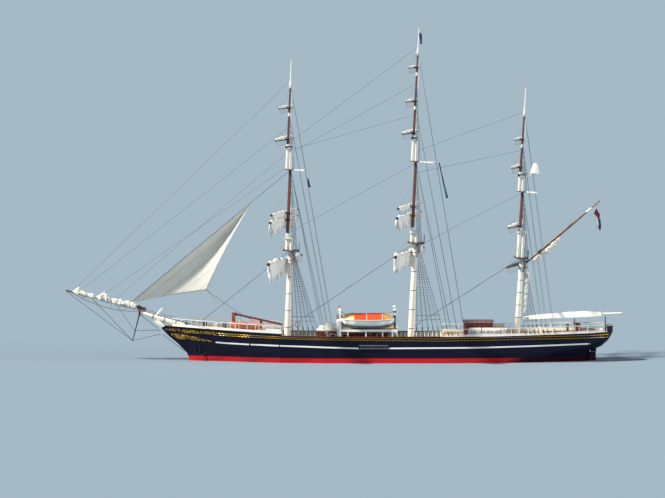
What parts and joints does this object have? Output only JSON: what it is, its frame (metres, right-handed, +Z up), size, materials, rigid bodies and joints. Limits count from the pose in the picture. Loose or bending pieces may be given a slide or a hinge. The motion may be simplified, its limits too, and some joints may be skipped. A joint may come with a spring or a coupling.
{
  "type": "full-rigged tall ship, 1:2 scale model",
  "caption": "Full-rigged tall ship with braced yards, a swinging spanker gaff and boom, a rudder, a propeller and a deck crane; afloat on its whole hull.",
  "frame": {"origin": "on the centreline amidships at the waterline", "axes": "+X towards the bow, +Y to port, +Z up"},
  "size_m": [37.8446, 12.3335, 25.0498],
  "materials": {
    "hull_paint": "navy-black gloss paint on steel",
    "white_paint": "white gloss paint",
    "raft_casing": "white moulded glass fibre casings",
    "varnished_wood": "red-brown varnished mahogany",
    "boat_orange": "orange moulded glass fibre and canopy",
    "mast_paint": "cream gloss paint on steel tube",
    "spar_paint": "brown paint",
    "furled_yard": "cream sailcloth furled along a painted yard",
    "sail_canvas": "cream sailcloth",
    "flag_cloth": "dark red woven flag",
    "stay_wire": "dark served wire",
    "propeller_bronze": "cast bronze"
  },
  "bodies": {
    "hull": {"hull": "hull_paint", "bulwark_port": "hull_paint", "bulwark_starboard": "hull_paint", "forecastle_rail_port": "white_paint", "forecastle_rail_starboard": "white_paint", "poop_rail_port": "white_paint", "poop_rail_starboard": "white_paint", "midship_house": "varnished_wood", "boat_deck": "white_paint", "lifeboat_port": "boat_orange", "lifeboat_starboard": "boat_orange", "poop_house": "varnished_wood", "life_rafts_port": "raft_casing", "life_rafts_starboard": "raft_casing", "steering_wheel": "varnished_wood", "rescue_boat": "boat_orange", "crane_post": "spar_paint", "bowsprit": "mast_paint", "jib_boom": "spar_paint", "fore_lower_mast": "mast_paint", "fore_topmast": "spar_paint", "fore_topgallant_mast": "spar_paint", "main_lower_mast": "mast_paint", "main_topmast": "spar_paint", "main_topgallant_mast": "spar_paint", "mizzen_lower_mast": "mast_paint", "mizzen_topmast": "spar_paint", "mizzen_topgallant_mast": "spar_paint", "forestay": "stay_wire", "jib_stay": "stay_wire", "main_stay": "stay_wire", "mizzen_stay": "stay_wire", "jib": "sail_canvas"},
    "fore_lower_yard": {"fore_lower_yard": "spar_paint", "fore_course_sail": "sail_canvas"},
    "fore_lower_topsail_yard": {"fore_lower_topsail_yard": "spar_paint", "fore_topsail_sail": "sail_canvas"},
    "fore_upper_topsail_yard": {"fore_upper_topsail_yard": "spar_paint"},
    "fore_topgallant_yard": {"fore_topgallant_yard": "furled_yard"},
    "fore_royal_yard": {"fore_royal_yard": "furled_yard"},
    "main_lower_yard": {"main_lower_yard": "spar_paint", "main_course_sail": "sail_canvas"},
    "main_lower_topsail_yard": {"main_lower_topsail_yard": "spar_paint", "main_topsail_sail": "sail_canvas"},
    "main_upper_topsail_yard": {"main_upper_topsail_yard": "spar_paint"},
    "main_topgallant_yard": {"main_topgallant_yard": "furled_yard"},
    "main_royal_yard": {"main_royal_yard": "furled_yard"},
    "main_skysail_yard": {"main_skysail_yard": "furled_yard"},
    "mizzen_crossjack_yard": {"mizzen_crossjack_yard": "spar_paint"},
    "mizzen_topsail_yard": {"mizzen_topsail_yard": "furled_yard"},
    "mizzen_topgallant_yard": {"mizzen_topgallant_yard": "furled_yard"},
    "mizzen_royal_yard": {"mizzen_royal_yard": "furled_yard"},
    "spanker_gaff": {"spanker_gaff": "spar_paint", "spanker_sail": "sail_canvas", "ensign": "flag_cloth"},
    "spanker_boom": {"spanker_boom": "white_paint", "boom_tent": "sail_canvas"},
    "rudder": {"rudder": "hull_paint"},
    "propeller": {"propeller": "propeller_bronze"},
    "crane_jib": {"crane_jib": "spar_paint"}
  },
  "joints": [
    {"name": "fore_lower_brace", "type": "hinge", "parent": "hull", "child": "fore_lower_yard", "pos_m": [7.07, 0, 0], "axis": [-0.0419, 0, 0.9991], "range_deg": [-29.5, 50.5]},
    {"name": "fore_lower_topsail_brace", "type": "hinge", "parent": "hull", "child": "fore_lower_topsail_yard", "pos_m": [7.32977, 0, 0.01089], "axis": [-0.0419, 0, 0.9991], "range_deg": [-29.5, 50.5]},
    {"name": "fore_upper_topsail_brace", "type": "hinge", "parent": "hull", "child": "fore_upper_topsail_yard", "pos_m": [7.32977, 0, 0.01089], "axis": [-0.0419, 0, 0.9991], "range_deg": [-29.5, 50.5]},
    {"name": "fore_topgallant_brace", "type": "hinge", "parent": "hull", "child": "fore_topgallant_yard", "pos_m": [7.55957, 0, 0.02052], "axis": [-0.0419, 0, 0.9991], "range_deg": [-29.5, 50.5]},
    {"name": "fore_royal_brace", "type": "hinge", "parent": "hull", "child": "fore_royal_yard", "pos_m": [7.55957, 0, 0.02052], "axis": [-0.0419, 0, 0.9991], "range_deg": [-29.5, 50.5]},
    {"name": "main_lower_brace", "type": "hinge", "parent": "hull", "child": "main_lower_yard", "pos_m": [-1.345, 0, 0], "axis": [-0.0489, 0, 0.9988], "range_deg": [-30, 50]},
    {"name": "main_lower_topsail_brace", "type": "hinge", "parent": "hull", "child": "main_lower_topsail_yard", "pos_m": [-1.08531, 0, 0.0127], "axis": [-0.0489, 0, 0.9988], "range_deg": [-30, 50]},
    {"name": "main_upper_topsail_brace", "type": "hinge", "parent": "hull", "child": "main_upper_topsail_yard", "pos_m": [-1.08531, 0, 0.0127], "axis": [-0.0489, 0, 0.9988], "range_deg": [-30, 50]},
    {"name": "main_topgallant_brace", "type": "hinge", "parent": "hull", "child": "main_topgallant_yard", "pos_m": [-0.85559, 0, 0.02394], "axis": [-0.0489, 0, 0.9988], "range_deg": [-30, 50]},
    {"name": "main_royal_brace", "type": "hinge", "parent": "hull", "child": "main_royal_yard", "pos_m": [-0.85559, 0, 0.02394], "axis": [-0.0489, 0, 0.9988], "range_deg": [-30, 50]},
    {"name": "main_skysail_brace", "type": "hinge", "parent": "hull", "child": "main_skysail_yard", "pos_m": [-0.85559, 0, 0.02394], "axis": [-0.0489, 0, 0.9988], "range_deg": [-30, 50]},
    {"name": "mizzen_crossjack_brace", "type": "hinge", "parent": "hull", "child": "mizzen_crossjack_yard", "pos_m": [-8.52, 0, 0], "axis": [-0.0645, 0, 0.9979], "range_deg": [-29, 51]},
    {"name": "mizzen_topsail_brace", "type": "hinge", "parent": "hull", "child": "mizzen_topsail_yard", "pos_m": [-8.26054, 0, 0.01678], "axis": [-0.0645, 0, 0.9979], "range_deg": [-29, 51]},
    {"name": "mizzen_topgallant_brace", "type": "hinge", "parent": "hull", "child": "mizzen_topgallant_yard", "pos_m": [-8.03102, 0, 0.03162], "axis": [-0.0645, 0, 0.9979], "range_deg": [-29, 51]},
    {"name": "mizzen_royal_brace", "type": "hinge", "parent": "hull", "child": "mizzen_royal_yard", "pos_m": [-8.03102, 0, 0.03162], "axis": [-0.0645, 0, 0.9979], "range_deg": [-29, 51]},
    {"name": "gaff_swing", "type": "hinge", "parent": "hull", "child": "spanker_gaff", "pos_m": [-9.30357, 0, 6.69339], "axis": [-0.0645, 0, 0.9979], "range_deg": [-38, 38]},
    {"name": "boom_swing", "type": "hinge", "parent": "hull", "child": "spanker_boom", "pos_m": [-9.11147, 0, 2.94798], "axis": [-0.0645, 0, 0.9979], "range_deg": [-38, 38]},
    {"name": "rudder_turn", "type": "hinge", "parent": "hull", "child": "rudder", "pos_m": [-13.55, 0, 0], "axis": [0, 0, 1], "range_deg": [-35, 35]},
    {"name": "propeller_spin", "type": "hinge", "parent": "hull", "child": "propeller", "pos_m": [-12.65, 0, -1.125], "axis": [1, 0, 0], "continuous": true},
    {"name": "crane_luff", "type": "hinge", "parent": "hull", "child": "crane_jib", "pos_m": [10.45, 0, 3.145], "axis": [0, 1, 0], "range_deg": [0, 55]}
  ]
}
